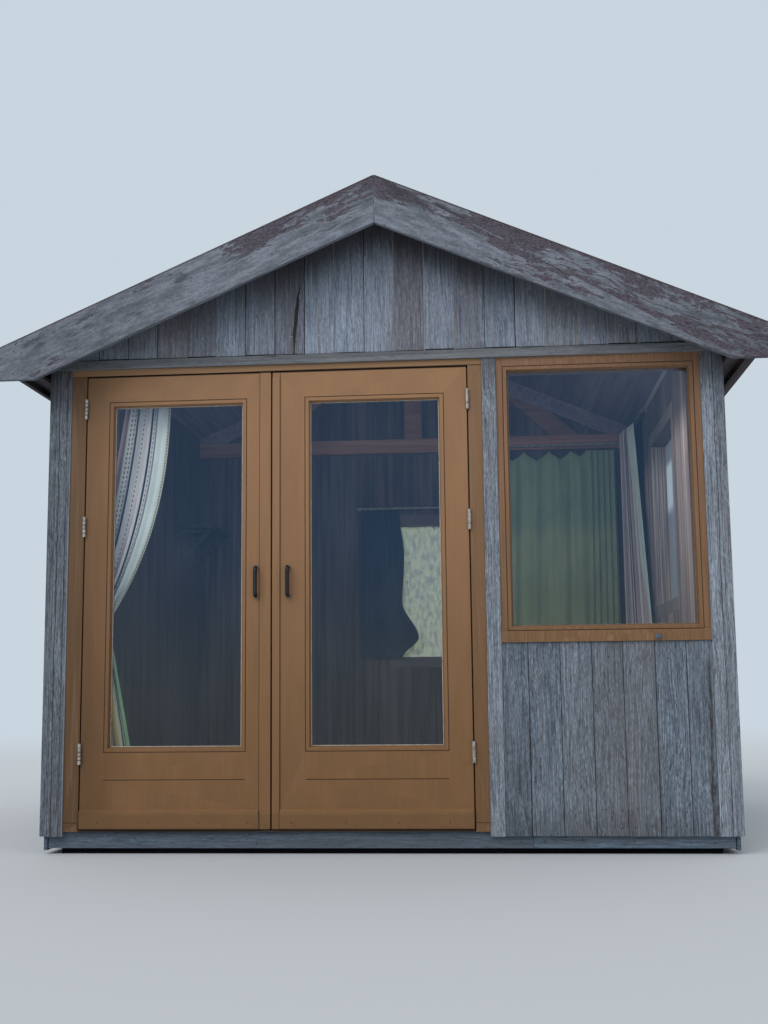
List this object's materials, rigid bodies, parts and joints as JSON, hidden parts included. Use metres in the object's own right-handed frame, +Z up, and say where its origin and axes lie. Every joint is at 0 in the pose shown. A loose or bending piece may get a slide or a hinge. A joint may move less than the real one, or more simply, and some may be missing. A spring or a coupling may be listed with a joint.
{
  "type": "timber beach hut with glazed double doors",
  "caption": "Weathered timber beach hut with a low gable roof, glazed double doors and a big front window.",
  "frame": {"origin": "centre of the hut's base on the ground, midway between the tips of its front and rear overhangs", "axes": "+X to the hut's right as seen from the front, +Y from the front to the rear, +Z up"},
  "size_m": [3.4, 2.92, 2.9299],
  "materials": {
    "grey_wood": "weathered",
    "tan_wood": "satin",
    "dark_wood": "rough",
    "bare_wood": "matt",
    "painted_board": "worn",
    "roofing_felt": "matt",
    "glass": "gloss",
    "steel": "dull",
    "black_metal": "satin",
    "green_cloth": "matt",
    "striped_cloth": "matt",
    "dark_cloth": "matt"
  },
  "bodies": {
    "root": {"ground_bearers": "dark_wood", "base_rails": "grey_wood", "floor": "bare_wood", "left_front_post": "grey_wood", "mullion_post": "grey_wood", "right_front_post": "grey_wood", "front_header": "bare_wood", "head_rail": "grey_wood", "front_gable": "grey_wood", "front_wall": "grey_wood", "left_wall": "grey_wood", "right_wall": "grey_wood", "rear_wall": "grey_wood", "left_jamb": "tan_wood", "right_jamb": "tan_wood", "door_head": "tan_wood", "threshold": "dark_wood", "front_window_frame": "tan_wood", "front_window_glass": "glass", "side_window_frame": "tan_wood", "side_window_glass": "glass", "rear_window_frame": "tan_wood", "rear_window_glass": "glass", "ridge_beam": "bare_wood", "tie_beam": "bare_wood", "king_post": "bare_wood", "truss_braces": "bare_wood", "truss_rafters": "bare_wood", "left_roof_boards": "bare_wood", "right_roof_boards": "bare_wood", "roof_felt": "roofing_felt", "front_left_bargeboard": "painted_board", "front_right_bargeboard": "painted_board", "rear_left_bargeboard": "painted_board", "rear_right_bargeboard": "painted_board", "left_eaves": "painted_board", "right_eaves": "painted_board", "curtain_rods": "steel", "plain_curtain": "green_cloth", "striped_curtain": "striped_cloth", "door_curtain": "striped_cloth", "rear_curtain": "dark_cloth", "wall_shelf": "dark_wood", "jamb_hinges": "steel"},
    "left_leaf": {"left_door": "tan_wood", "left_door_glass": "glass", "left_handle": "black_metal", "left_hinges": "steel"},
    "right_leaf": {"right_door": "tan_wood", "right_door_glass": "glass", "right_handle": "black_metal", "right_hinges": "steel"}
  },
  "joints": [
    {"name": "left_door_swing", "type": "hinge", "parent": "root", "child": "left_leaf", "pos_m": [-1.329, -1.262, 1.1], "axis": [0, 0, -1], "range_deg": [0, 100]},
    {"name": "right_door_swing", "type": "hinge", "parent": "root", "child": "right_leaf", "pos_m": [0.387, -1.262, 1.1], "axis": [0, 0, 1], "range_deg": [0, 170]}
  ]
}
